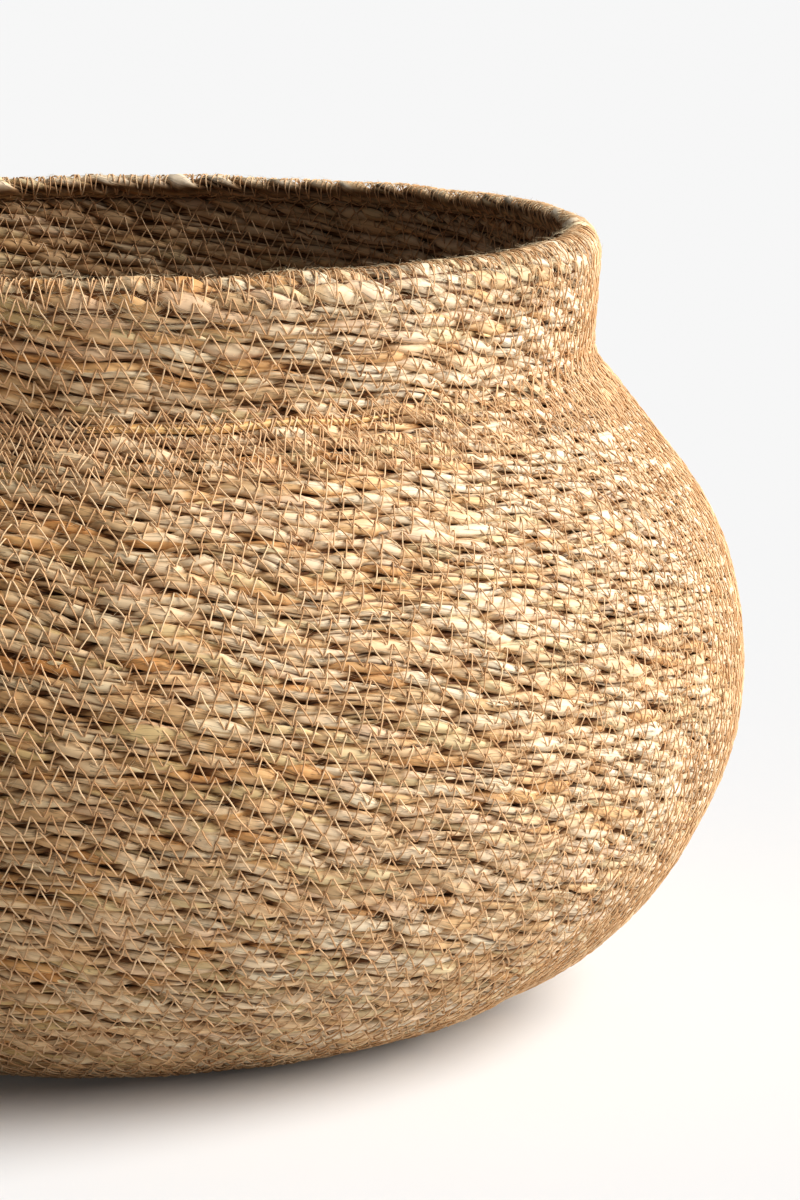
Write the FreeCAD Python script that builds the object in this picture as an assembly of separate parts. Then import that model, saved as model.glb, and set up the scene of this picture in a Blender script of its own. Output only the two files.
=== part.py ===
"""A squat round storage basket, coiled from seagrass rope.

One rope winds out from the centre of the base, up round the belly and in to a collar.
Each turn is sewn to the one before it with a zigzag seam, which has a needle thread
outside and a bobbin thread inside. The rope is fed on in lengths, and each length is a
node. The middle line of the wall is drawn in the plane of r and z, as a row of straight
stretches and arcs, and its places are told by the number of turns from the centre.
"""

import FreeCAD
import Part
import math
import os

# Driving dimensions, in millimetres and degrees
HEIGHT = 242.0  # floor to the top of the rim
BELLY_RADIUS = 200.0  # outside, at the widest turn
NECK_RADIUS = 151.8  # outside, at the crease below the collar
WALL = 7.0  # thickness of the wall, one rope pressed oval
TURNS = 90  # turns of rope from the centre of the base to the rim
GROOVE = 1.0  # depth of the groove between two turns
THREAD = 0.5  # diameter of the sewing threads

# Radii of the middle line's arcs, and how far each arc turns it
HEEL_ARC = 28.0
HEEL_TURN = 13.4
LOWER_ARC = 107.0
UPPER_ARC = 90.5
SHOULDER_LEAN = 39.0
NECK_ARC = 15.5
COLLAR_FLARE = 5.9
RIM_ARC = 5.0
RIM_TURN = 122.0

# The rope's end, which is tapered and sewn down inside the collar
TAIL_ROOT = 2.0  # radius where it leaves the rim
TAIL_TIP = 0.8
TAIL_SWEEP = 26.0  # degrees round the basket
TAIL_TURN = 85.5  # the turn that the tail lies on
TAIL_SIDE = 255.0  # degrees round the basket, where the tail starts
TAIL_SECTIONS = 5

GAP = 0.02  # between a thread or the tail and the rope that it lies on
FULL_TURN = 360

# Rope lengths from the centre outwards: name, how many lengths, turns in each
ROPE_LENGTHS = [
    ("base_centre_coil", 1, 2),
    ("base_coil", 3, 7),
    ("heel_coil", 1, 3),
    ("lower_wall_coil", 5, 5),
    ("belly_coil", 3, 4),
    ("shoulder_coil", 3, 5),
    ("neck_coil", 1, 4),
    ("collar_coil", 2, 3),
    ("rim_coil", 1, 2),
]

# Last seam of each stretch that is sewn with one bobbin of thread
THREAD_STRETCHES = [
    ("base", 23),
    ("lower_wall", 51),
    ("belly", 63),
    ("shoulder", 78),
    ("collar", 86),
]

HALF_WALL = WALL / 2
Z_AXIS = FreeCAD.Vector(0, 0, 1)
ORIGIN = FreeCAD.Vector(0, 0, 0)


def wall_stretches():
    """Length and curvature of each stretch of the middle line, from the centre to the rim."""
    heel = math.radians(HEEL_TURN)
    lean = math.radians(SHOULDER_LEAN)
    flare = math.radians(COLLAR_FLARE)
    belly = BELLY_RADIUS - HALF_WALL
    neck = NECK_RADIUS - HALF_WALL

    base = belly - HEEL_ARC * math.sin(heel) - LOWER_ARC * (1 - math.sin(heel))
    drop_to_neck = belly - neck - (UPPER_ARC + NECK_ARC) * (1 - math.cos(lean))
    shoulder = drop_to_neck / math.sin(lean)

    neck_height = HALF_WALL + HEEL_ARC * (1 - math.cos(heel)) + LOWER_ARC * math.cos(heel)
    neck_height += UPPER_ARC * math.sin(lean) + shoulder * math.cos(lean)
    neck_height += NECK_ARC * (math.sin(lean) + math.sin(flare))
    rim_height = HEIGHT - HALF_WALL - RIM_ARC - RIM_ARC * math.sin(flare)
    collar = (rim_height - neck_height) / math.cos(flare)

    return [
        (base, 0),
        (HEEL_ARC * heel, 1 / HEEL_ARC),
        (LOWER_ARC * (math.pi / 2 - heel), 1 / LOWER_ARC),
        (UPPER_ARC * lean, 1 / UPPER_ARC),
        (shoulder, 0),
        (NECK_ARC * (lean + flare), -1 / NECK_ARC),
        (collar, 0),
        (RIM_ARC * math.radians(RIM_TURN), 1 / RIM_ARC),
    ]


STRETCHES = wall_stretches()
PITCH = sum(length for length, _ in STRETCHES) / TURNS
BASE_TURNS = STRETCHES[0][0] / PITCH


def advance(place, length, curvature):
    """The place (r, z, heading) that is reached after a stretch of one curvature."""
    r, z, heading = place
    if curvature == 0:
        return r + length * math.cos(heading), z + length * math.sin(heading), heading
    end = heading + curvature * length
    across = (math.sin(end) - math.sin(heading)) / curvature
    up = (math.cos(heading) - math.cos(end)) / curvature
    return r + across, z + up, end


def middle_line(turn):
    """The place (r, z, heading) on the middle line, a number of turns from the centre."""
    place = (0.0, HALF_WALL, 0.0)
    left = turn * PITCH
    for length, curvature in STRETCHES:
        step = min(left, length)
        place = advance(place, step, curvature)
        left -= step
    return place


def wall_point(turn, depth):
    """A point at a depth outside the middle line. Inside it, the depth is negative."""
    r, z, heading = middle_line(turn)
    return FreeCAD.Vector(r + depth * math.sin(heading), 0, z - depth * math.cos(heading))


def seam_point(turn, side):
    """The bottom of the groove between two turns, on the outer (1) or inner (-1) side."""
    return wall_point(turn, side * (HALF_WALL - GROOVE))


def round_side(turn, side):
    """One turn's rounded side, from the seam before it to the seam after it."""
    crest = wall_point(turn + 0.5, side * HALF_WALL)
    return [Part.Arc(seam_point(turn, side), crest, seam_point(turn + 1, side)).toShape()]


def standing_side(turn):
    """The underside of a turn of the base, pressed flat where the basket stands on it."""
    inset = GROOVE / PITCH
    start = seam_point(turn, 1)
    flat_start = wall_point(turn + inset, HALF_WALL)
    if turn == 0:
        start = wall_point(0, HALF_WALL)
    flat_end = wall_point(turn + 1 - inset, HALF_WALL)
    end = seam_point(turn + 1, 1)
    corners = [start, flat_start, flat_end, end]
    return [Part.LineSegment(a, b).toShape() for a, b in zip(corners, corners[1:])]


def outer_side(turn):
    """A turn's outer side, which is flat below on the turns that stand on the floor."""
    if turn + 1 <= BASE_TURNS:
        return standing_side(turn)
    return round_side(turn, 1)


def free_edge(outside, inside):
    """The rounded edge of the last turn, which nothing is sewn to."""
    r, z, heading = middle_line(TURNS)
    bulge = HALF_WALL - GROOVE
    crest = FreeCAD.Vector(r + bulge * math.cos(heading), 0, z + bulge * math.sin(heading))
    return Part.Arc(outside, crest, inside).toShape()


def rope_length(first, count):
    """A length of rope, which is a ring of turns pressed and sewn side by side."""
    last = first + count
    edges = []
    for turn in range(first, last):
        edges += outer_side(turn)
    outside = seam_point(last, 1)
    inside = seam_point(last, -1)
    if last == TURNS:
        edges.append(free_edge(outside, inside))
    else:
        edges.append(Part.LineSegment(outside, inside).toShape())
    for turn in reversed(range(first, last)):
        edges += round_side(turn, -1)
    start = seam_point(first, 1)
    if first == 0:
        start = wall_point(0, HALF_WALL)
    edges.append(Part.LineSegment(seam_point(first, -1), start).toShape())
    profile = Part.Face(Part.Wire(Part.__sortEdges__(edges)))
    return profile.revolve(ORIGIN, Z_AXIS, FULL_TURN)


def seam_thread(turn, side):
    """A ring of thread, drawn square, standing on edge in the groove between two turns."""
    before = outer_side(turn - 1)[-1] if side > 0 else round_side(turn - 1, side)[0]
    after = outer_side(turn)[0] if side > 0 else round_side(turn, side)[0]
    down = before.tangentAt(before.LastParameter)
    up = after.tangentAt(after.FirstParameter)
    half_groove = (math.pi - down.getAngle(up)) / 2
    half = THREAD / 2
    reach = half / PITCH
    depth = HALF_WALL - GROOVE + GAP + half * max(1, 1 / math.tan(half_groove))
    corners = [
        wall_point(turn, side * (depth - half)),
        wall_point(turn + reach, side * depth),
        wall_point(turn, side * (depth + half)),
        wall_point(turn - reach, side * depth),
    ]
    profile = Part.Face(Part.makePolygon(corners + corners[:1]))
    return profile.revolve(ORIGIN, Z_AXIS, FULL_TURN)


def thread_stretch(first, last, side):
    """All the seams of one stretch, on the outer or inner side."""
    return Part.makeCompound([seam_thread(turn, side) for turn in range(first, last + 1)])


def rope_tail():
    """The tapered end of the rope, lying round the inside of the collar."""
    sections = []
    for i in range(TAIL_SECTIONS):
        share = i / (TAIL_SECTIONS - 1)
        radius = TAIL_ROOT + (TAIL_TIP - TAIL_ROOT) * share
        centre = wall_point(TAIL_TURN, -(HALF_WALL + GAP + radius))
        circle = Part.makeCircle(radius, centre, FreeCAD.Vector(0, 1, 0))
        circle.rotate(ORIGIN, Z_AXIS, TAIL_SWEEP * share)
        sections.append(Part.Wire(circle))
    tail = Part.makeLoft(sections, True)
    tail.rotate(ORIGIN, Z_AXIS, TAIL_SIDE)
    return tail


def save(name, shape):
    """Write one node."""
    shape.exportStep(os.path.join("parts", name + ".step"))


def main():
    """Make every node of the basket."""
    os.makedirs("parts", exist_ok=True)
    first = 0
    for name, lengths, turns in ROPE_LENGTHS:
        for i in range(lengths):
            number = "" if lengths == 1 else "_" + str(i + 1)
            save(name + number, rope_length(first, turns))
            first += turns
    first = 1
    for name, last in THREAD_STRETCHES:
        save(name + "_needle_thread", thread_stretch(first, last, 1))
        save(name + "_bobbin_thread", thread_stretch(first, last, -1))
        first = last + 1
    save("rope_tail", rope_tail())
    print("Pitch", round(PITCH, 3), "mm, turns that stand on the floor", int(BASE_TURNS))


main()
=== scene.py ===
"""Looks of the seagrass storage basket.

The rope is a spiral of two twisted plies and a thin filler strand, which winds out from the
centre of the base to the rim. Zigzag seams hold each turn to the one before it, with a
needle thread outside and a bobbin thread inside. All lengths are in metres.
"""

import math

import bpy
import numpy as np
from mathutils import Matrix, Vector


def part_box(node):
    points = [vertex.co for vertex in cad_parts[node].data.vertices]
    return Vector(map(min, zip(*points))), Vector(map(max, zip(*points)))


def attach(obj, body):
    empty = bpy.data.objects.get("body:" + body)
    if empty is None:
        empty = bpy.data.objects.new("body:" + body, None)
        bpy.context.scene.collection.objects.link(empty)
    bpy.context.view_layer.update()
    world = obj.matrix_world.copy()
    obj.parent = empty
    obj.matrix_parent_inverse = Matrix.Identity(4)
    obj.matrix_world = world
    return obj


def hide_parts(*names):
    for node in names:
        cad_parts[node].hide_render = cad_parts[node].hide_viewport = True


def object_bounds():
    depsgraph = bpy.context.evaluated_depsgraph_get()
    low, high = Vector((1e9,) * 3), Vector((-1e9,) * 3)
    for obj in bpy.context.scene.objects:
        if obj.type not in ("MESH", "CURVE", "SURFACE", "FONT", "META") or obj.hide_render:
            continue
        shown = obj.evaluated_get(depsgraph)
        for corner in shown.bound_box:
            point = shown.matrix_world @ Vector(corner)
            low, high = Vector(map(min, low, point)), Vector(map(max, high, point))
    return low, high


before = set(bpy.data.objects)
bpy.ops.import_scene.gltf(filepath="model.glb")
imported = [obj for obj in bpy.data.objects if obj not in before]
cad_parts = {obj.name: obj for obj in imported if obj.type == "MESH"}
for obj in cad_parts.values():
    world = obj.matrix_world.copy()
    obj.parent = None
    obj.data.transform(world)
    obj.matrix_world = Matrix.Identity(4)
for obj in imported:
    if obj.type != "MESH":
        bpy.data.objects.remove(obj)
CAD_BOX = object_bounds()

MM = 0.001
FULL = 2 * math.pi

# The wall's middle line, as the CAD draws it
WALL = 7.0 * MM
HALF_WALL = WALL / 2
NECK_RADIUS = 151.8 * MM
HEEL_ARC, HEEL_TURN = 28.0 * MM, math.radians(13.4)
LOWER_ARC = 107.0 * MM
UPPER_ARC, SHOULDER_LEAN = 90.5 * MM, math.radians(39.0)
NECK_ARC, COLLAR_FLARE = 15.5 * MM, math.radians(5.9)
RIM_ARC, RIM_TURN = 5.0 * MM, math.radians(122.0)
HEIGHT = CAD_BOX[1].z
BELLY_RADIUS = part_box("belly_coil_2")[1].x
TURNS = 90

# Lengths of rope from the centre outwards: CAD node, turns in it
ROPE_LENGTHS = (
    [("base_centre_coil", 2)]
    + [("base_coil_%d" % i, 7) for i in (1, 2, 3)]
    + [("heel_coil", 3)]
    + [("lower_wall_coil_%d" % i, 5) for i in (1, 2, 3, 4, 5)]
    + [("belly_coil_%d" % i, 4) for i in (1, 2, 3)]
    + [("shoulder_coil_%d" % i, 5) for i in (1, 2, 3)]
    + [("neck_coil", 4)]
    + [("collar_coil_%d" % i, 3) for i in (1, 2)]
    + [("rim_coil", 2)]
)
# Stretches of seam, each sewn with its own thread: CAD name, piece name, last seam
SEAMS = (
    ("base", "base", 23),
    ("lower_wall", "lower_wall_1", 35),
    ("lower_wall", "lower_wall_2", 43),
    ("lower_wall", "lower_wall_3", 51),
    ("belly", "belly_1", 57),
    ("belly", "belly_2", 63),
    ("shoulder", "shoulder_1", 70),
    ("shoulder", "shoulder_2", 78),
    ("collar", "collar_1", 84),
    ("collar", "collar_2", 89),
)

# The rope
ROPE_START = 0.35  # turns from the centre
ROPE_END = 89.825  # where it bends off the rim, down into the tail
START_ANGLE = math.radians(-54)
STATION = 1.8 * MM  # between two sections of a ply
BASE_STATION = 2.6 * MM  # the same in the base
BASE_END = 24  # a length of rope that ends before this turn is in the base
LAY = 33.0 * MM  # length in which the plies go once round each other
COLLAR_LAY = 38.0 * MM  # the same on the collar, where the rope is twisted less
RIM_LAY = 25.0 * MM  # and on the last turns
COLLAR_TURNS = (78.5, 82)  # where the lay changes to the collar's
RIM_TURNS = (86.4, 87.2)  # where it changes to the rim's
LAY_STEP = 2.0 * MM  # between two places at which the lay is added up
LAY_VARIES = 0.28  # part by which the lay changes along the rope
BROAD_TURNS = (86.8, 88.2)  # where the rope grows to the rim's breadth
PLY_RADIUS = 1.85 * MM
PLY_UP = 1.2 * MM  # how far a ply swings up and down the wall
PLY_OUT = 1.6 * MM  # how far it swings out of and into the wall
LEAF_LAY = 0.85  # a ply is twisted the other way, by this part of the rope's own twist
LEAF_PLACES = (0.0, 0.13, 0.5, 0.87)  # points across a leaf of a ply, from a fold to the next
LEAF_HEIGHTS = (0.68, 0.98, 1.07, 0.98)  # how far out they are, in radii of the ply
CORE_RADIUS = 1.3 * MM  # of the loose fibre packed between two turns
TURN_AT_NECK = 79
NECK_STRAND = (0.895, 0.995)  # parts of a turn: where the splice at the neck starts and ends
NECK_LEAF = 0.85 * MM  # half the width of one of the splice's leaves
NECK_SPACING = 0.95 * MM  # between two of them
TAIL_TURN = 85.5  # the turn that the rope's tail lies on, inside the collar
TAIL_REACH = (0.825, 0.88, 0.93)  # parts of a turn: start, down on that turn, tip
FIBRE_RADIUS = 0.06 * MM
FIBRE_DEPTH = 3.1 * MM  # outside the wall's middle
FLAKE_DEPTH = 3.2 * MM  # the same for the torn flakes

# The fibre's colour, and painted shade in it
PAINTED_FOLD_SHADE = 0.13  # painted shade: how light a fold between two leaves is, against the leaves
PAINTED_DEPTH_SHADE = 0.2  # painted shade: how light the middle of the wall is, against its surface
DEPTHS = (0.3 * MM, 2.4 * MM)  # from the wall's middle, between which that painted shade changes
INNER_SHADE = 0.35  # how much darker the inside is: partly less bleached fibre, partly painted shade
PAINTED_SHADE_TINT = (0.8, 1.1, 1.5)  # powers of the painted shade for red, green and blue, which make it warm
LIGHTEST = 0.86  # the highest linear value of any leaf's colour
LEAF_OVERLAP = 2.5 * MM  # length over which one leaf's colour goes over to the next
PAINTED_SHADE_SIDE = math.radians(205)  # the side away from the key light, where shade is painted
SIDE_SHADE_DARKER = 0.2  # painted shade: part by which that side is darker
# How ripe the fibre is at the least, and what is added as painted shade on the side away from
# the key light and on a streak up the wall, and on a band round the belly
RIPE, SIDE_SHADE_RIPE, STREAK_SHADE_RIPE, BAND_RIPE = 0.85, 0.22, 0.5, 0.10
STREAK_SIDE = 0.6  # radians on from the painted shade side, where the streak of painted shade is
STREAK_POWER = 32  # the higher, the narrower it is
GOLDEN_BAND = (57.5, 3.5)  # middle and width of the band, in turns

# The seams
STITCH = 6.2 * MM  # one zigzag
STITCH_REACH = 3.05 * MM  # from the seam's middle to the needle holes
WIDE_REACH = 3.4 * MM  # the same where a seam is gone over twice, and over the tail
DOWN_SHARE = 0.6  # of a zigzag that its leg down to the right takes
THREAD_RADIUS = 0.25 * MM
THREAD_DEPTH = 3.6 * MM  # outside the wall's middle
SEAM_WANDER = 2.0 * MM  # how far the stitches of a row are off their even spacing
HOLE_DEPTH = 1.2 * MM  # how far a leg's ends go down into the rope
LEG_RISE = 0.12 * MM  # how far its middle stands up
# Places along a leg of a zigzag, and the part of the hole's depth that it is down there
OUTER_SHARES = np.array([0, 0.1, 0.36, 0.64, 0.9, 1])
OUTER_DIVE = np.array([1, 0.1, 0, 0, 0.1, 1])
INNER_SHARES = np.array([0, 0.15, 0.85, 1])
INNER_DIVE = np.array([1, 0.1, 0.1, 1])
TAIL_LIFT = (4 * MM, 1 * MM)  # of the stitches over the tail, at its start and at its tip
EDGE_STITCH = 2.0 * MM  # half a zigzag over the rim's free edge
EDGE_WRAP = (-0.9, 2.7)  # radians round the last turn, from outside to inside
EDGE_HEIGHT = 2.95 * MM  # of those stitches, along the wall from the last turn's middle
# Seams that were gone over twice: piece name, first and last turn
DOUBLED = {"shoulder_2": (75.5, 78), "collar_1": (78, 80.6)}
THREAD_ODDS = [0.5, 0.3, 0.2]  # how often each of the thread's tones comes

# What has come loose. Fuzz: number, first and last turn, length, how far it stands off
TORN_FLAKES = 220
FLAKE_TURNS = (26, 88)
RIM_FUZZ = (5200, 86.8, ROPE_END, 7 * MM, 1.6 * MM)
WALL_FUZZ = (8200, BASE_END, 87, 11 * MM, 1.3 * MM)

# The wall's unevenness
DRIFT = 0.9 * MM  # how far the turns drift up and down the wall
SWELL = 0.55 * MM  # how far the wall goes in and out
DRIFT_EDGE = 0.1  # distance from the centre over which the turns start to drift
SWELL_BLEND = 0.05  # and the length after it over which the wall starts to swell

# The picture
PRINT_GAMMA = 0.83  # of the view, for the photograph's contrast
FLOOR_SIZE = 30.0  # from the middle to each side
FLOOR_CORNERS = ((-1, -1), (1, -1), (1, 1), (-1, 1))
FLOOR_GREY = 0.78
FLOOR_GLOW = 0.03  # the floor gives off a little light of its own, like a light table
SKY = 0.2  # strength of the white surround
KEY = 5.3  # strength of the sun that is the key light
KEY_BREADTH = math.radians(50)
KEY_SIDE, KEY_RISE = math.radians(-12), math.radians(35)
CAMERA_DISTANCE = 1.5
CAMERA_HEIGHT = 0.3993
CAMERA_YAW = math.radians(3.53)
CAMERA_PITCH = math.radians(10.475)
SENSOR_WIDTH = 36
FOCAL_WIDTHS = 6.06  # focal length in widths of the picture

SEED = 7


def wall_stretches():
    """Length and curvature of each stretch of the middle line, from the centre to the rim."""
    belly = BELLY_RADIUS - HALF_WALL
    neck = NECK_RADIUS - HALF_WALL
    base = belly - HEEL_ARC * math.sin(HEEL_TURN) - LOWER_ARC * (1 - math.sin(HEEL_TURN))
    drop = belly - neck - (UPPER_ARC + NECK_ARC) * (1 - math.cos(SHOULDER_LEAN))
    shoulder = drop / math.sin(SHOULDER_LEAN)
    neck_height = HALF_WALL + HEEL_ARC * (1 - math.cos(HEEL_TURN))
    neck_height += LOWER_ARC * math.cos(HEEL_TURN) + UPPER_ARC * math.sin(SHOULDER_LEAN)
    neck_height += shoulder * math.cos(SHOULDER_LEAN)
    neck_height += NECK_ARC * (math.sin(SHOULDER_LEAN) + math.sin(COLLAR_FLARE))
    rim_height = HEIGHT - HALF_WALL - RIM_ARC * (1 + math.sin(COLLAR_FLARE))
    collar = (rim_height - neck_height) / math.cos(COLLAR_FLARE)
    return [
        (base, 0.0),
        (HEEL_ARC * HEEL_TURN, 1 / HEEL_ARC),
        (LOWER_ARC * (math.pi / 2 - HEEL_TURN), 1 / LOWER_ARC),
        (UPPER_ARC * SHOULDER_LEAN, 1 / UPPER_ARC),
        (shoulder, 0.0),
        (NECK_ARC * (SHOULDER_LEAN + COLLAR_FLARE), -1 / NECK_ARC),
        (collar, 0.0),
        (RIM_ARC * RIM_TURN, 1 / RIM_ARC),
    ]


def advance(r, z, heading, length, curvature):
    """The place and heading that are reached after a stretch of one curvature."""
    bend = np.where(curvature == 0, 1.0, curvature)
    end = heading + curvature * length
    r_bent = r + (np.sin(end) - np.sin(heading)) / bend
    z_bent = z + (np.cos(heading) - np.cos(end)) / bend
    straight = curvature == 0
    r_out = np.where(straight, r + length * np.cos(heading), r_bent)
    z_out = np.where(straight, z + length * np.sin(heading), z_bent)
    return r_out, z_out, end


STRETCHES = np.array(wall_stretches())
STARTS = np.concatenate([[0], np.cumsum(STRETCHES[:-1, 0])])
PITCH = STRETCHES[:, 0].sum() / TURNS
PLACES = [(0.0, HALF_WALL, 0.0)]
for stretch_length, stretch_curvature in STRETCHES[:-1]:
    PLACES.append(advance(*PLACES[-1], stretch_length, stretch_curvature))
PLACES = np.array(PLACES, float)


def middle_line(s):
    """Radius, height and heading of the middle line, at a distance s along it."""
    i = np.clip(np.searchsorted(STARTS, s, side="right") - 1, 0, len(STARTS) - 1)
    r, z, heading = PLACES[i, 0], PLACES[i, 1], PLACES[i, 2]
    return advance(r, z, heading, s - STARTS[i], STRETCHES[i, 1])


def waves(seed, height):
    """A slow ripple over the whole wall, as a function of the angle and the distance s."""
    rng = np.random.default_rng(seed)
    count = 14  # of waves that are added up
    around = rng.integers(2, 26, count)
    along = rng.normal(0, 60, count)
    phase = rng.uniform(0, FULL, count)
    share = rng.uniform(0.4, 1.0, count) / math.sqrt(count)

    def ripple(angle, s):
        total = np.zeros(np.broadcast(angle, s).shape)
        for a, b, c, d in zip(around, along, phase, share):
            total += d * np.sin(a * angle + b * s + c)
        return height * total

    return ripple


course_drift = waves(SEED, DRIFT)
wall_swell = waves(SEED + 1, SWELL)


def wall_point(turn, s, depth):
    """Points at an angle given in turns, s along the middle line and depth out of it."""
    angle = START_ANGLE + FULL * turn
    s = s + course_drift(angle, s) * np.clip(s / DRIFT_EDGE, 0, 1)
    r, z, heading = middle_line(s)
    depth = depth + wall_swell(angle, s) * np.clip((s - DRIFT_EDGE) / SWELL_BLEND, 0, 1)
    r = r + depth * np.sin(heading)
    z = z - depth * np.cos(heading)
    return np.stack([r * np.cos(angle), r * np.sin(angle), np.maximum(z, 0)], -1)


def frames(turn, s):
    """Unit vectors round the basket, up the wall and out of it."""
    angle = START_ANGLE + FULL * turn
    _, _, heading = middle_line(s)
    zero = np.zeros_like(angle)
    around = np.stack([-np.sin(angle), np.cos(angle), zero], -1)
    up_r, up_z = np.cos(heading), np.sin(heading)
    up = np.stack([up_r * np.cos(angle), up_r * np.sin(angle), up_z], -1)
    out = np.stack([up_z * np.cos(angle), up_z * np.sin(angle), -up_r], -1)
    return around, up, out


# Rope length against turns
TURN_TABLE = np.linspace(0, TURNS + 1, 30001)
RADIUS_TABLE = np.maximum(middle_line(TURN_TABLE * PITCH)[0], 0.001)
LENGTH_TABLE = np.concatenate(
    [[0], np.cumsum((RADIUS_TABLE[1:] + RADIUS_TABLE[:-1]) / 2 * np.diff(TURN_TABLE) * FULL)]
)
ROPE_LENGTH = LENGTH_TABLE[-1]


def length_at(turn):
    """Rope length from the centre to a turn."""
    return np.interp(turn, TURN_TABLE, LENGTH_TABLE)


def turn_at(length):
    """The turn at a rope length from the centre."""
    return np.interp(length, LENGTH_TABLE, TURN_TABLE)


def wander(seed, spacing):
    """Smooth random values along the rope, about 0 and mostly within 1."""
    knots = np.random.default_rng(seed).normal(0, 0.55, int(ROPE_LENGTH / spacing) + 4)

    def value(length):
        place = np.clip(length / spacing, 0, len(knots) - 2)
        i = place.astype(int)
        f = place - i
        f = f * f * (3 - 2 * f)
        return knots[i] * (1 - f) + knots[i + 1] * f

    return value


def smooth(value, low, high):
    """Goes from 0 at low to 1 at high, smoothly."""
    share = np.clip((value - low) / (high - low), 0, 1)
    return share * share * (3 - 2 * share)


lay_change = wander(SEED + 2, 60 * MM)
LAY_GRID = np.arange(0, ROPE_LENGTH + 0.01, LAY_STEP)
LAY_HERE = LAY + (COLLAR_LAY - LAY) * smooth(turn_at(LAY_GRID), *COLLAR_TURNS)
LAY_HERE = LAY_HERE + (RIM_LAY - COLLAR_LAY) * smooth(turn_at(LAY_GRID), *RIM_TURNS)
# How many times the plies have gone round each other
LAY_COUNT = np.cumsum(LAY_STEP / (LAY_HERE * (1 + LAY_VARIES * lay_change(LAY_GRID))))

tone_ripple = waves(SEED + 3, 0.07)
ripe_ripple = waves(SEED + 4, 0.06)


def lightness_and_side_shade(turn):
    """How light the fibre is, which changes slowly over the wall; one side has painted shade."""
    angle = START_ANGLE + FULL * turn
    # Painted shade: darker on the side away from the key light
    darker = SIDE_SHADE_DARKER * np.cos(angle - PAINTED_SHADE_SIDE).clip(0)
    return 1 + tone_ripple(angle, turn * PITCH) - darker


def ripeness_and_side_shade(turn):
    """An exponent of the fibre's colour, over 1 where it's golden and under 1 where it's pale."""
    angle = START_ANGLE + FULL * turn
    # Painted shade: more golden on the side away from the key light and on a streak there
    side = SIDE_SHADE_RIPE * np.cos(angle - PAINTED_SHADE_SIDE)
    streak = STREAK_SHADE_RIPE * np.cos((angle - PAINTED_SHADE_SIDE - STREAK_SIDE) / 2) ** STREAK_POWER
    middle, width = GOLDEN_BAND
    band = BAND_RIPE * np.exp(-(((turn - middle) / width) ** 2))
    return RIPE + (side + streak) + band + ripe_ripple(angle, turn * PITCH)


# Dried leaf colours, sRGB, and how often each comes
LEAVES = [
    ((240, 214, 178), 32),
    ((235, 201, 157), 20),
    ((243, 223, 190), 12),
    ((232, 192, 140), 7),
    ((238, 206, 170), 7),
    ((226, 201, 155), 10),
    ((222, 174, 118), 3),
    ((206, 173, 130), 6),
]


def linear(colour):
    """sRGB values of 0 to 255 as linear ones."""
    c = np.asarray(colour, float) / 255
    return np.where(c <= 0.04045, c / 12.92, ((c + 0.055) / 1.055) ** 2.4)


def leaf_colours(seed, shortest, longest):
    """Colour along a strand, which changes where one leaf ends and the next starts."""
    rng = np.random.default_rng(seed)
    ends = np.cumsum(rng.uniform(shortest, longest, int(ROPE_LENGTH / shortest)))
    ends = ends[: np.searchsorted(ends, ROPE_LENGTH) + 1]
    odds = np.array([share for _, share in LEAVES], float)
    picks = rng.choice(len(LEAVES), len(ends) + 1, p=odds / odds.sum())
    palette = linear([colour for colour, _ in LEAVES])[picks]
    palette = palette * rng.normal(0.98, 0.045, (len(palette), 1))

    def colour(length):
        i = np.searchsorted(ends, length)
        i = np.minimum(i, len(palette) - 2)
        f = np.clip(1 - (ends[i] - length) / LEAF_OVERLAP, 0, 1)[:, None]
        return palette[i] * (1 - f) + palette[i + 1] * f

    return colour


def mesh_object(name, points, faces, tone, lie, material):
    """A smooth mesh of quads, with a colour and a place in the strand for each point."""
    mesh = bpy.data.meshes.new(name)
    mesh.vertices.add(len(points))
    mesh.vertices.foreach_set("co", np.ascontiguousarray(points, np.float32).ravel())
    mesh.loops.add(faces.size)
    mesh.loops.foreach_set("vertex_index", np.ascontiguousarray(faces, np.int32).ravel())
    mesh.polygons.add(len(faces))
    starts = np.arange(0, faces.size, faces.shape[1], dtype=np.int32)
    mesh.polygons.foreach_set("loop_start", starts)
    mesh.polygons.foreach_set("use_smooth", np.ones(len(faces), bool))
    mesh.update(calc_edges=True)
    rgba = np.concatenate([tone, np.ones((len(tone), 1))], 1)
    mesh.attributes.new("tone", "FLOAT_COLOR", "POINT").data.foreach_set(
        "color", np.ascontiguousarray(rgba, np.float32).ravel()
    )
    mesh.attributes.new("lie", "FLOAT_VECTOR", "POINT").data.foreach_set(
        "vector", np.ascontiguousarray(lie, np.float32).ravel()
    )
    mesh.materials.append(material)
    obj = bpy.data.objects.new(name, mesh)
    bpy.context.scene.collection.objects.link(obj)
    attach(obj, "root")
    return obj


def tube_faces(tubes, rings, sides):
    """Quads of many open tubes, whose points run round each ring and then along the tube."""
    t = np.arange(tubes)[:, None, None] * rings * sides
    i = np.arange(rings - 1)[None, :, None] * sides
    j = np.arange(sides)[None, None, :]
    k = (j + 1) % sides
    corners = [t + i + j, t + i + k, t + i + sides + k, t + i + sides + j]
    return np.stack(corners, -1).reshape(-1, 4)


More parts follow.
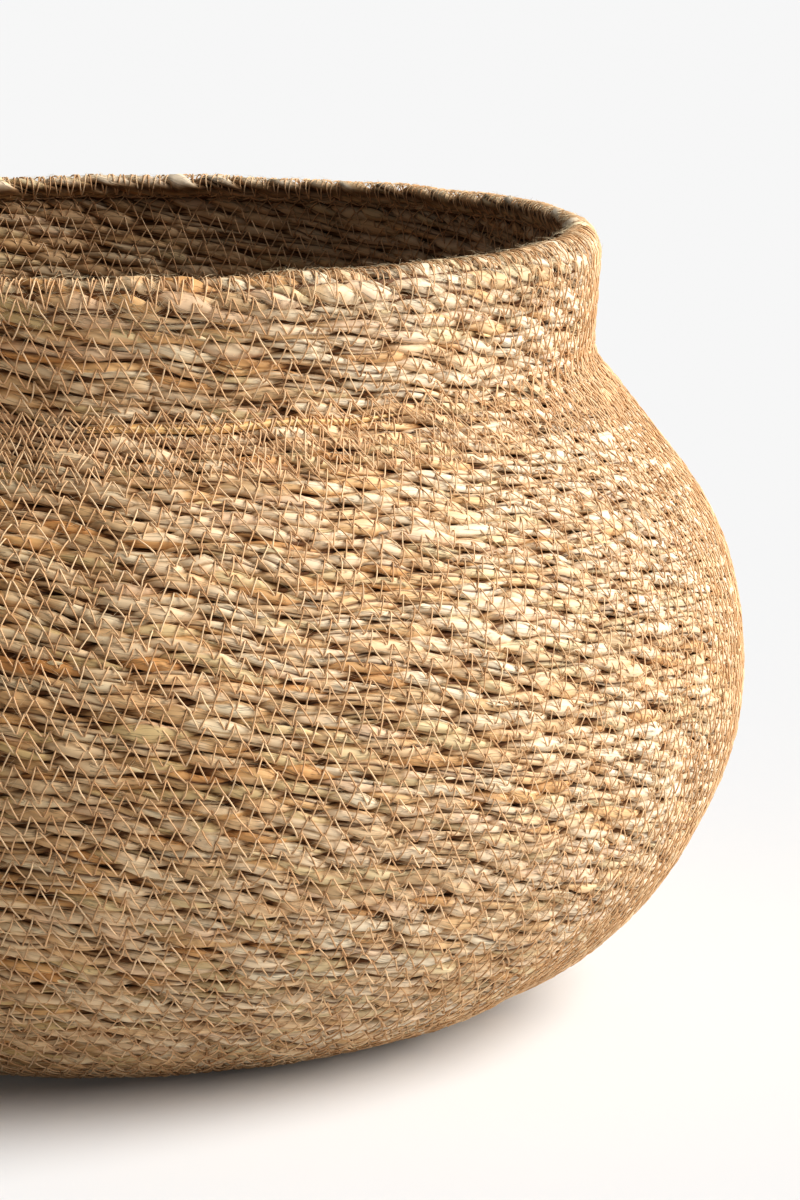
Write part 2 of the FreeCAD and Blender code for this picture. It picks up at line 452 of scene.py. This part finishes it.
class Strand:
    """One ply of the rope, or the filler strand that lies between the plies.

    It has a number of leaves side by side, with a fold between each two. Speed is how often
    it goes round the rope's middle in one lay, and leaf the shortest and longest leaf.
    """

    # How far its shape wanders along the rope
    THICK, LUMP = 0.24, 0.12  # parts of its radius
    SWING = 0.5  # radians round the rope's middle
    SHIFT = 0.25 * MM  # up and down the wall
    ROLL = 1.4  # radians of all the leaves round the strand
    FOLD_SHIFT = 0.5  # radians of one fold
    CROWN = 0.1  # part of the radius that a leaf's height changes by
    WIDE, FLAT = 1.25, 0.2  # breadth in radii, and by how much it changes
    THIN = 0.92  # thickness in radii
    SHADE = 0.08  # part by which its lightness changes
    RIM_BROAD = 0.15  # how much broader it is at the rim

    def __init__(self, seed, radius, leaves, phase, up, out, speed, leaf):
        self.radius, self.leaves, self.phase = radius, leaves, phase
        self.up, self.out, self.speed = up, out, speed
        self.thick = wander(seed, 9 * MM)
        self.lump = wander(seed + 1, 4 * MM)
        self.swing = wander(seed + 2, 15 * MM)
        self.shift = wander(seed + 3, 11 * MM)
        self.flat = wander(seed + 4, 20 * MM)
        self.roll = wander(seed + 5, 30 * MM)
        self.folds = [wander(seed + 20 + i, 18 * MM) for i in range(leaves)]
        self.crowns = [wander(seed + 30 + i, 8 * MM) for i in range(leaves)]
        self.fades = [wander(seed + 40 + i, 22 * MM) for i in range(leaves)]
        self.colours = [leaf_colours(seed + 10 + i, *leaf) for i in range(leaves)]
        self.shade = wander(seed + 9, 7 * MM)
        self.offset = seed * 0.37

    def leaf_rings(self, length):
        """Angle, radius and painted shade of the points of each ring, a leaf at a time."""
        folds = [
            FULL * n / self.leaves + self.FOLD_SHIFT * f(length)
            for n, f in enumerate(self.folds)
        ]
        folds.append(folds[0] + FULL)
        psi, ring, shade = [], [], []
        for n in range(self.leaves):
            crown = self.CROWN * self.crowns[n](length)
            fade = smooth(self.fades[n](length), -0.25, 0.35)
            for place, height in zip(LEAF_PLACES, LEAF_HEIGHTS):
                fold = fade if place == 0 else 1.0
                psi.append(folds[n] + (folds[n + 1] - folds[n]) * place)
                ring.append(height + (1 - height) * fade * (place == 0) + crown)
                # Painted shade: a fold is darker than its leaves, less so where it fades out
                shade.append(PAINTED_FOLD_SHADE + (1 - PAINTED_FOLD_SHADE) * fold * np.ones(len(length)))
        roll = self.ROLL * self.roll(length)
        return np.stack(psi, 1) + roll[:, None], np.stack(ring, 1), np.stack(shade, 1)

    def section(self, length, turn, s, depth=0.0, size=1.0):
        """Points, colours and places in the strand of its rings.

        length is where they lie along the rope, turn their angle, s and depth the place of
        the rope's middle on the wall, and size the rope's thickness there.
        """
        size = np.broadcast_to(size, length.shape)
        lay = np.interp(length, LAY_GRID, LAY_COUNT)
        twist = -FULL * lay * self.speed + self.phase + self.SWING * self.swing(length)
        broad = 1 + self.RIM_BROAD * smooth(turn, *BROAD_TURNS)
        swell = 1 + self.THICK * self.thick(length) + self.LUMP * self.lump(length)
        radius = self.radius * size * swell
        up_mid = self.up * size * broad * np.sin(twist) + self.SHIFT * self.shift(length)
        out_mid = self.out * size * np.cos(twist)

        leaf, ring, fold = self.leaf_rings(length)
        psi = leaf - LEAF_LAY * twist[:, None]
        wide = (broad * (self.WIDE + self.FLAT * self.flat(length)))[:, None]
        radial = radius[:, None] * ring * np.cos(psi) * self.THIN
        across = radius[:, None] * ring * np.sin(psi) * wide
        c, d = np.cos(twist)[:, None], np.sin(twist)[:, None]
        up = up_mid[:, None] + radial * d + across * c
        out = out_mid[:, None] + radial * c - across * d
        middle = np.broadcast_to(depth, length.shape)[:, None]
        points = wall_point(turn[:, None], s[:, None] + up, middle + out)

        shade = (1 + self.SHADE * self.shade(length)) * lightness_and_side_shade(turn)
        ripe_and_side_shade = ripeness_and_side_shade(turn)[:, None]
        leaves = [colour(length) ** ripe_and_side_shade * shade[:, None] for colour in self.colours]
        tone = np.repeat(np.stack(leaves, 1), len(LEAF_PLACES), axis=1)
        # Painted shade: darker at the folds and deeper in the wall
        painted_shade = fold * (PAINTED_DEPTH_SHADE + (1 - PAINTED_DEPTH_SHADE) * smooth(np.abs(out), *DEPTHS))
        # Darker on the inside of the wall: partly less bleached fibre, partly painted shade
        painted_shade = painted_shade * (1 - INNER_SHADE * smooth(-out, 0, 1 * MM))
        tone = tone * np.minimum(1, LIGHTEST / tone.max(-1, keepdims=True))
        # The painted shade darkens blue most and red least, so it is warm
        tone = tone * painted_shade[:, :, None] ** np.array(PAINTED_SHADE_TINT)
        along = np.broadcast_to(length[:, None], ring.shape) + self.offset
        radius = radius[:, None]
        lie = np.stack([along, radius * np.cos(leaf), radius * np.sin(leaf)], -1)
        faces = tube_faces(1, len(length), ring.shape[1])
        return points.reshape(-1, 3), faces, tone.reshape(-1, 3), lie.reshape(-1, 3)


PLY = dict(
    radius=PLY_RADIUS, leaves=3, up=PLY_UP, out=PLY_OUT, speed=1.0, leaf=(25 * MM, 90 * MM)
)
FILLER = dict(
    radius=0.85 * MM, leaves=1, up=1.6 * MM, out=2.15 * MM, speed=0.62, leaf=(15 * MM, 50 * MM)
)
STRANDS = [
    Strand(100, phase=0.0, **PLY),
    Strand(200, phase=math.pi, **PLY),
    Strand(300, phase=1.4, **FILLER),
]


def join(parts):
    """Joins (points, faces, tone, lie) of several meshes."""
    counts = np.cumsum([0] + [len(p[0]) for p in parts])
    points = np.concatenate([p[0] for p in parts])
    faces = np.concatenate([p[1] + n for p, n in zip(parts, counts)])
    tone = np.concatenate([p[2] for p in parts])
    lie = np.concatenate([p[3] for p in parts])
    return points, faces, tone, lie


def painted_shade_core(start, end):
    """The loose fibre packed between two turns, which no light comes through."""
    length = np.linspace(start, end, int((end - start) / (5 * MM)) + 2)
    turn = turn_at(length)
    psi = np.arange(4) / 4 * FULL
    size = CORE_RADIUS * (1 + 0.8 * smooth(turn, *BROAD_TURNS))[:, None]
    up = size * np.cos(psi)
    out = size * np.sin(psi)
    points = wall_point(turn[:, None], (turn[:, None] - 0.5) * PITCH + up, out)
    # Painted shade: dark brown, for the shade in the gap between two turns
    tone = np.broadcast_to(linear((120, 80, 44)), (len(length), 4, 3))
    lie = np.stack(np.broadcast_arrays(length[:, None], up, out), -1)
    faces = tube_faces(1, len(length), 4)
    return points.reshape(-1, 3), faces, tone.reshape(-1, 3), lie.reshape(-1, 3)


def rope_object(name, node, parts, material):
    """One length of rope, which stands for a CAD node."""
    obj = mesh_object(name, *join(parts), material)
    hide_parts(node)


def rope_piece(node, first, last, material):
    """One length of rope, all its strands."""
    start = length_at(max(first, ROPE_START))
    end = length_at(min(last, ROPE_END))
    station = BASE_STATION if last < BASE_END else STATION
    length = np.linspace(start, end, int((end - start) / station) + 2)
    turn = turn_at(length)
    parts = [strand.section(length, turn, turn * PITCH) for strand in STRANDS]
    if first > 0:
        parts.append(painted_shade_core(start, end))
    rope_object("rope_" + node, node, parts, material)


def tail_piece(material):
    """The rope's tapered end, which bends off the rim and lies inside the collar."""
    start, down, tip = (math.floor(ROPE_END) + share for share in TAIL_REACH)
    length = np.linspace(length_at(start), length_at(tip), 70)
    turn = turn_at(length)
    drop = smooth(turn, start, down)
    size = 1 - 0.78 * smooth(turn, start - 0.02, tip)
    s = (ROPE_END + (TAIL_TURN - ROPE_END) * drop) * PITCH
    depth = -drop * (HALF_WALL + 3.0 * MM * size)
    parts = [strand.section(length, turn, s, depth, size) for strand in STRANDS]
    rope_object("rope_tail", "rope_tail", parts, material)


def thread_tubes(path, normal, radius, sides, colour, along, flat=1.0):
    """Thin tubes along many short paths, an array of tubes x rings x 3.

    Normal points off the wall, and flat is the tubes' thickness against their width.
    """
    tubes, rings, _ = path.shape
    run = np.gradient(path, axis=1)
    run /= np.linalg.norm(run, axis=2, keepdims=True)
    side = np.cross(run, normal)
    side /= np.linalg.norm(side, axis=2, keepdims=True)
    top = np.cross(side, run)
    psi = np.arange(sides) / sides * FULL
    radius = np.broadcast_to(radius, (tubes, rings))[:, :, None, None]
    ring = top[:, :, None, :] * (flat * np.cos(psi))[:, None]
    ring = ring + side[:, :, None, :] * np.sin(psi)[:, None]
    points = path[:, :, None, :] + radius * ring
    tone = np.broadcast_to(colour[:, None, None, :], (tubes, rings, sides, 3))
    lie = np.stack(
        [
            np.broadcast_to(along[:, :, None], (tubes, rings, sides)),
            np.broadcast_to(np.cos(psi) * 0.3 * MM, (tubes, rings, sides)),
            np.broadcast_to(np.sin(psi) * 0.3 * MM, (tubes, rings, sides)),
        ],
        -1,
    )
    faces = tube_faces(tubes, rings, sides)
    return points.reshape(-1, 3), faces, tone.reshape(-1, 3), lie.reshape(-1, 3)


THREAD_TONES = linear([(224, 188, 147), (208, 168, 126), (236, 206, 168)])


def seam_row(first, last, side, seed, reach=STITCH_REACH, offset=0.5, lift=(0, 0)):
    """The zigzag legs of a stretch of seam, on the outer (1) or inner (-1) side.

    Offset is how far the seam lies past the rope's middle, in turns, and lift how much further
    off the wall the thread is at the start and at the end.
    """
    rng = np.random.default_rng(seed)
    start, end = length_at(first), length_at(last)
    count = int((end - start) / STITCH)
    tops = start + (np.arange(count + 1) + rng.normal(0, 0.08, count + 1)) * STITCH
    tops += np.interp(tops, np.linspace(start, end, 60), rng.normal(0, SEAM_WANDER, 60))
    lows = tops[:-1] + (DOWN_SHARE + rng.normal(0, 0.07, count)) * np.diff(tops)
    high = reach * rng.normal(1, 0.08, count + 1)
    low = -reach * rng.normal(1, 0.08, count)
    begin_l = np.concatenate([tops[:-1], lows])
    end_l = np.concatenate([lows, tops[1:]])
    begin_s = np.concatenate([high[:-1], low])
    end_s = np.concatenate([low, high[1:]])

    shares = OUTER_SHARES if side > 0 else INNER_SHARES
    dive = OUTER_DIVE if side > 0 else INNER_DIVE
    length = begin_l[:, None] + (end_l - begin_l)[:, None] * shares
    across = begin_s[:, None] + (end_s - begin_s)[:, None] * shares
    turn = turn_at(length)
    s = (turn + offset) * PITCH + across
    bow = rng.normal(0, 0.25 * MM, len(begin_l))[:, None] * np.sin(math.pi * shares)
    turn = turn_at(length + bow)
    depth = THREAD_DEPTH + rng.normal(0, 0.08 * MM, len(begin_l))[:, None]
    depth = depth + LEG_RISE * np.sin(math.pi * shares) - HOLE_DEPTH * dive
    depth = depth + lift[0] + (lift[1] - lift[0]) * (length - start) / (end - start)
    path = wall_point(turn, s, side * depth)
    path[..., 2] = np.maximum(path[..., 2], 0.8 * THREAD_RADIUS)
    _, _, out = frames(turn, s)
    tone = THREAD_TONES[rng.choice(3, len(begin_l), p=THREAD_ODDS)]
    tone = tone * rng.normal(1, 0.06, (len(tone), 1))
    return thread_tubes(path, side * out, THREAD_RADIUS, 4 if side > 0 else 3, tone, length)


def edge_row(first, last, seed):
    """The stitches that wrap the free edge of the last turn, from outside to inside."""
    rng = np.random.default_rng(seed)
    start, end = length_at(first), length_at(last)
    count = int((end - start) / EDGE_STITCH)
    holes = start + (np.arange(count + 1) + rng.normal(0, 0.12, count + 1)) * EDGE_STITCH
    share = np.linspace(0, 1, 9)
    flip = (np.arange(count) % 2)[:, None]
    length = holes[:-1, None] + np.diff(holes)[:, None] * share
    low, high = EDGE_WRAP
    swing = low + (high - low) * (share + flip - 2 * flip * share)
    up = EDGE_HEIGHT * np.sin(swing)
    out = THREAD_DEPTH * np.cos(swing)
    turn = turn_at(length)
    path = wall_point(turn, turn * PITCH + up, out)
    _, along, away = frames(turn, turn * PITCH)
    normal = along * np.sin(swing)[..., None] + away * np.cos(swing)[..., None]
    tone = THREAD_TONES[rng.choice(3, count, p=THREAD_ODDS)]
    return thread_tubes(path, normal, THREAD_RADIUS, 4, tone, length)


def seam_piece(zone, name, first, last, side, material):
    """The thread of one stretch of seam, on one side of the wall."""
    word = "needle" if side > 0 else "bobbin"
    seed = SEED + 1000 + first * 2 + (side > 0)
    rows = [seam_row(max(first, 0.8), min(last, ROPE_END - 1), side, seed)]
    if name in DOUBLED:
        begin, end = DOUBLED[name]
        rows.append(seam_row(begin, end, side, seed + 501, WIDE_REACH, 0.47))
    if name == "collar_2" and side > 0:
        rows.append(edge_row(ROPE_END - 1.01, ROPE_END, seed + 503))
    if name == "collar_2" and side < 0:
        tail = [math.floor(ROPE_END) + share for share in TAIL_REACH[1:]]
        offset = TAIL_TURN - sum(tail) / 2
        rows.append(seam_row(*tail, side, seed + 504, WIDE_REACH, offset, TAIL_LIFT))
    obj = mesh_object("%s_thread_%s" % (word, name), *join(rows), material)
    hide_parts("%s_%s_thread" % (zone, word))


def loose_fibres(name, count, first, last, size, stand, seed, material):
    """Fine hairs that lie on the rope between two turns, with one end a little off it.

    Size is the longest hair's length, and stand how far off the rope its end is at most.
    """
    rng = np.random.default_rng(seed)
    begin = length_at(first) + rng.uniform(0, 1, count) * (length_at(last) - length_at(first))
    reach = size * rng.uniform(0.3, 1, count) * rng.choice([-1, 1], count)
    climb = rng.normal(0, 0.55, count) * np.abs(reach)
    share = np.linspace(0, 1, 5)
    bend = rng.normal(0, 0.25, count)[:, None] * reach[:, None] * share * (1 - share) * 2
    turn = turn_at(begin[:, None] + reach[:, None] * share)
    start = turn_at(begin)[:, None] + rng.uniform(-0.5, 0.5, count)[:, None]
    s = np.minimum(start * PITCH + climb[:, None] * share + bend, TURNS * PITCH)
    lift = (rng.uniform(0, 1, count) ** 2 * stand)[:, None] * share**1.5
    path = wall_point(turn, s, FIBRE_DEPTH + lift)
    path[..., 2] = np.maximum(path[..., 2], 0.1 * MM)
    _, _, out = frames(turn, s)
    thin = FIBRE_RADIUS * rng.uniform(0.6, 1.3, count)[:, None] * (1 - 0.7 * share)
    tone = linear((244, 226, 190)) * rng.normal(0.92, 0.1, (count, 1)).clip(0.5, 1.05)
    parts = thread_tubes(path, out + 0.01, thin, 3, tone, begin[:, None] + path[..., 0])
    obj = mesh_object(name, *parts, material)


def torn_flakes(count, seed, material):
    """Pale shreds of leaf that have come loose from the rope."""
    rng = np.random.default_rng(seed)
    begin = rng.uniform(*length_at(FLAKE_TURNS), count)
    reach = rng.uniform(3, 10, count) * MM
    share = np.linspace(0, 1, 6)
    turn = turn_at(begin[:, None] + reach[:, None] * share)
    slope = -rng.uniform(0.0, 0.35, count) * reach
    s = turn_at(begin)[:, None] * PITCH + rng.uniform(-1.6, 1.6, count)[:, None] * MM
    s = s + slope[:, None] * share
    curl = rng.uniform(0, 1, count)[:, None] ** 2 * 1.1 * MM * share**2
    path = wall_point(turn, s, FLAKE_DEPTH + curl)
    _, _, out = frames(turn, s)
    wide = rng.uniform(0.3, 0.8, count)[:, None] * MM * np.sin(math.pi * share**0.7) ** 0.6
    tones = linear([(240, 218, 176), (236, 208, 158), (244, 228, 196)])
    tone = tones[rng.integers(0, 3, count)]
    along = begin[:, None] + path[..., 0]
    parts = thread_tubes(path, out, wide + 0.02 * MM, 6, tone, along, flat=0.16)
    obj = mesh_object("torn_flakes", *parts, material)


def neck_strand(material):
    """Long golden leaves of a splice, which lie in the crease under the neck's stitches."""
    begin, end = (TURN_AT_NECK + share for share in NECK_STRAND)
    length = np.linspace(length_at(begin), length_at(end), 60) + np.zeros((3, 1))
    turn = turn_at(length)
    share = (turn - begin) / (end - begin)
    row = np.arange(3)[:, None] - 1
    s = (TURN_AT_NECK + 0.85 - 0.3 * share) * PITCH + row * NECK_SPACING * (1 - share**2)
    wide = NECK_LEAF * np.sin(math.pi * share.clip(0.02, 0.98)) ** 0.4
    path = wall_point(turn, s, 3.0 * MM - 0.25 * MM * row**2)
    _, _, out = frames(turn, s)
    tone = linear([(222, 182, 122), (234, 200, 144), (212, 168, 108)])
    parts = thread_tubes(path, out, wide, 8, tone, length, flat=0.7)
    obj = mesh_object("rope_neck_splice", *parts, material)


def feed(tree, socket, value):
    """Give a node's input a value, or link another node's output to it."""
    if isinstance(value, bpy.types.NodeSocket):
        tree.links.new(value, socket)
    else:
        socket.default_value = value


def attribute(tree, name):
    """The node that reads an attribute of the mesh."""
    node = tree.nodes.new("ShaderNodeAttribute")
    node.attribute_name = name
    return node


def noise(tree, place, stretch, detail):
    """Noise at a place that is stretched by a factor along each of its axes."""
    scaled = tree.nodes.new("ShaderNodeVectorMath")
    scaled.operation = "MULTIPLY"
    feed(tree, scaled.inputs[0], place)
    feed(tree, scaled.inputs[1], stretch)
    node = tree.nodes.new("ShaderNodeTexNoise")
    feed(tree, node.inputs["Vector"], scaled.outputs[0])
    feed(tree, node.inputs["Scale"], 1.0)
    feed(tree, node.inputs["Detail"], detail)
    return node.outputs["Fac"]


def calculate(tree, operation, *values):
    """A sum worked out by a Math node. A value is a socket or a number."""
    node = tree.nodes.new("ShaderNodeMath")
    node.operation = operation
    for socket, value in zip(node.inputs, values):
        feed(tree, socket, value)
    return node.outputs[0]


def span(tree, value, low, high, to_low, to_high):
    """The value with the range low to high stretched over another range, and clamped."""
    node = tree.nodes.new("ShaderNodeMapRange")
    node.clamp = True
    feed(tree, node.inputs["Value"], value)
    feed(tree, node.inputs["From Min"], low)
    feed(tree, node.inputs["From Max"], high)
    feed(tree, node.inputs["To Min"], to_low)
    feed(tree, node.inputs["To Max"], to_high)
    return node.outputs["Result"]


def blend(tree, kind, factor, a, b):
    """Two colours blended. A factor or colour is a socket or a value."""
    node = tree.nodes.new("ShaderNodeMix")
    node.data_type = "RGBA"
    node.blend_type = kind
    sockets = (node.inputs[0], node.inputs[6], node.inputs[7])
    for socket, value in zip(sockets, (factor, a, b)):
        feed(tree, socket, value)
    return node.outputs[2]


def fibre_material(name, streak, stain, rough, bump, crease):
    """Dry plant fibre. The tone attribute is its colour, with painted shade in it on the rope,
    and lie its place in the strand.

    Streak, stain and crease are how far fine lines, brown spots and painted crease shade darken
    it.
    """
    material = bpy.data.materials.new(name)
    material.use_nodes = True
    tree = material.node_tree
    shader = tree.nodes["Principled BSDF"]
    tone = attribute(tree, "tone").outputs["Color"]
    lie = attribute(tree, "lie").outputs["Vector"]

    fine = noise(tree, lie, (70, 1900, 1900), 3.0)
    lines = span(tree, fine, 0.3, 0.7, 1 - streak, 1 + streak * 0.5)
    colour = blend(tree, "MULTIPLY", 1.0, tone, lines)

    # A crease runs where this noise goes through its middle value
    fold = calculate(tree, "SUBTRACT", noise(tree, lie, (38, 520, 520), 2.0), 0.5)
    fold = span(tree, calculate(tree, "ABSOLUTE", fold), 0.0, 0.022, 0.0, 1.0)
    # Painted shade: the colour is darkened along the creases
    shadow = span(tree, fold, 0.0, 1.0, 1 - crease, 1.0)
    colour = blend(tree, "MULTIPLY", 1.0, colour, shadow)

    spots = span(tree, noise(tree, lie, (260, 420, 420), 4.0), 0.6, 0.74, 0.0, stain)
    colour = blend(tree, "MIX", spots, colour, (*linear((128, 78, 40)), 1.0))
    feed(tree, shader.inputs["Base Color"], colour)

    roughness = span(tree, fine, 0.3, 0.7, rough + 0.1, rough - 0.1)
    feed(tree, shader.inputs["Roughness"], roughness)
    relief = tree.nodes.new("ShaderNodeBump")
    feed(tree, relief.inputs["Height"], calculate(tree, "MULTIPLY_ADD", fold, 1.4, fine))
    feed(tree, relief.inputs["Strength"], bump)
    feed(tree, relief.inputs["Distance"], 0.18 * MM)
    feed(tree, shader.inputs["Normal"], relief.outputs["Normal"])
    feed(tree, shader.inputs["Specular IOR Level"], 0.3)
    return material


def make_floor():
    """A pale seamless floor."""
    mesh = bpy.data.meshes.new("floor")
    corners = [(x * FLOOR_SIZE, y * FLOOR_SIZE, 0) for x, y in FLOOR_CORNERS]
    mesh.from_pydata(corners, [], [(0, 1, 2, 3)])
    floor = bpy.data.objects.new("floor", mesh)
    bpy.context.scene.collection.objects.link(floor)
    material = bpy.data.materials.new("floor")
    material.use_nodes = True
    shader = material.node_tree.nodes["Principled BSDF"]
    shader.inputs["Base Color"].default_value = (FLOOR_GREY, FLOOR_GREY, FLOOR_GREY, 1)
    shader.inputs["Roughness"].default_value = 1.0
    shader.inputs["Specular IOR Level"].default_value = 0.0
    shader.inputs["Emission Color"].default_value = (1, 1, 1, 1)
    shader.inputs["Emission Strength"].default_value = FLOOR_GLOW
    mesh.materials.append(material)


def make_lights():
    """An even white surround, and a broad key light from the right."""
    world = bpy.data.worlds.new("studio")
    bpy.context.scene.world = world
    world.use_nodes = True
    background = world.node_tree.nodes["Background"]
    background.inputs["Color"].default_value = (1, 1, 1, 1)
    background.inputs["Strength"].default_value = SKY
    key = bpy.data.lights.new("key", "SUN")
    key.energy = KEY
    key.angle = KEY_BREADTH
    lamp = bpy.data.objects.new("key", key)
    towards = Vector((math.cos(KEY_SIDE), math.sin(KEY_SIDE), math.tan(KEY_RISE)))
    lamp.rotation_mode = "QUATERNION"
    lamp.rotation_quaternion = towards.to_track_quat("Z", "Y")
    bpy.context.scene.collection.objects.link(lamp)


def make_camera():
    """The camera at the photograph's angle, with the basket cut off at the left."""
    data = bpy.data.cameras.new("camera")
    data.sensor_fit = "HORIZONTAL"
    data.sensor_width = SENSOR_WIDTH
    data.lens = SENSOR_WIDTH * FOCAL_WIDTHS
    data.clip_start = 0.05
    data.clip_end = 100
    camera = bpy.data.objects.new("camera", data)
    camera.location = (0, -CAMERA_DISTANCE, CAMERA_HEIGHT)
    camera.rotation_euler = (math.pi / 2 - CAMERA_PITCH, 0, -CAMERA_YAW)
    bpy.context.scene.collection.objects.link(camera)
    bpy.context.scene.camera = camera


def main():
    """Make the whole scene."""
    scene = bpy.context.scene
    scene.view_settings.view_transform = "Standard"
    scene.view_settings.gamma = PRINT_GAMMA
    make_camera()
    make_floor()
    make_lights()
    straw = fibre_material(
        "seagrass", streak=0.07, stain=0.3, rough=0.58, bump=0.45, crease=0.42
    )
    thread = fibre_material("thread", streak=0.12, stain=0.0, rough=0.7, bump=0.5, crease=0.0)
    first = 0
    for node, turns in ROPE_LENGTHS:
        rope_piece(node, first, first + turns, straw)
        first += turns
    tail_piece(straw)
    neck_strand(straw)
    torn_flakes(TORN_FLAKES, SEED + 40, straw)
    loose_fibres("rim_fuzz", *RIM_FUZZ, SEED + 41, straw)
    loose_fibres("wall_fuzz", *WALL_FUZZ, SEED + 42, straw)
    first = 0
    for zone, name, last in SEAMS:
        for side in (1, -1):
            seam_piece(zone, name, first, last, side, thread)
        first = last


main()
